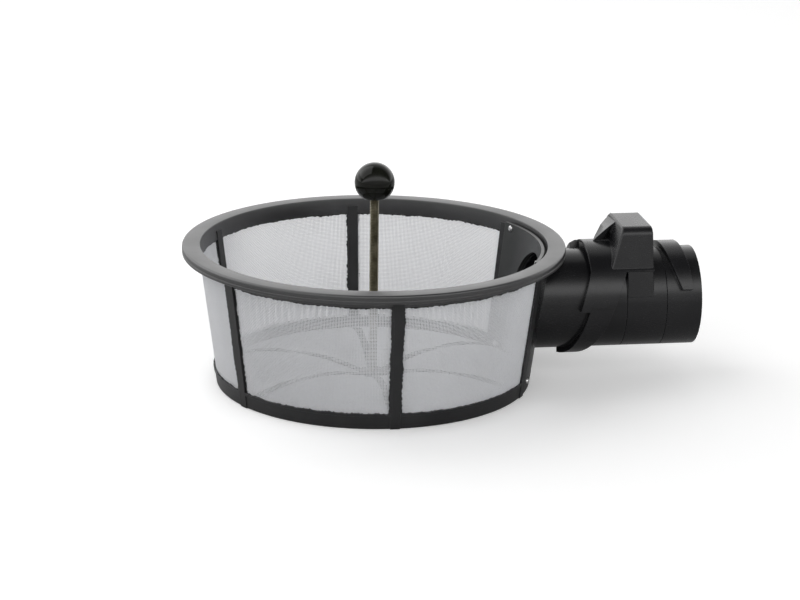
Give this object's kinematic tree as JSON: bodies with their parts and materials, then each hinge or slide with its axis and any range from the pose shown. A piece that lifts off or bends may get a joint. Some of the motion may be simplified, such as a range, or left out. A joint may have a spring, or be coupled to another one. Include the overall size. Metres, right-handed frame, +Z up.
{
  "type": "mesh strainer basket",
  "caption": "Round tapered mesh strainer basket with a flanged rim, a central lifting rod with a ball knob, and a side outlet locked to a tail pipe by a bayonet collar.",
  "frame": {"origin": "centre of the hub's underside, on the plane that the base ring stands on", "axes": "+Z up the basket axis and the lifting rod; +X out along the outlet and the tail pipe"},
  "size_m": [0.325, 0.24, 0.1399],
  "materials": {
    "black_plastic": "fine satin moulding, slightly glossy on the pipe work",
    "mesh": "woven monofilament, light grey",
    "rubber": "matt",
    "white_plastic": "smooth",
    "spring_steel": "satin",
    "rivet_metal": "satin",
    "brass": "turned",
    "rod_metal": "yellow-passivated, threaded",
    "gloss_black": "polished"
  },
  "bodies": {
    "basket": {"rim_ring": "black_plastic", "rib_cage": "black_plastic", "floor_spider": "black_plastic", "outlet_spigot": "black_plastic", "clamp_plate": "black_plastic", "mesh_panel_1": "mesh", "mesh_panel_2": "mesh", "mesh_panel_3": "mesh", "mesh_panel_4": "mesh", "mesh_panel_5": "mesh", "floor_mesh": "mesh", "plate_gasket": "rubber", "plate_rivets": "rivet_metal", "hub_nut": "brass", "knob_bush": "brass", "lifting_rod": "rod_metal", "ball_knob": "gloss_black"},
    "pipe": {"tail_pipe": "black_plastic", "o_ring_inner": "rubber", "o_ring_outer": "rubber", "retaining_ring": "spring_steel", "thrust_washer": "white_plastic"},
    "collar": {"coupling_collar": "black_plastic"}
  },
  "joints": [
    {"name": "collar_turn", "type": "hinge", "parent": "pipe", "child": "collar", "pos_m": [0.1566, 0, 0.0488], "axis": [-1, 0, 0], "range_deg": [0, 40]},
    {"name": "pipe_draw", "type": "slide", "parent": "basket", "child": "pipe", "axis": [1, 0, 0], "range_m": [0, 0.007]}
  ],
  "couplings": [
    {"joint": "pipe_draw", "follows": "collar_turn", "m_per_rad": 0.010027}
  ]
}
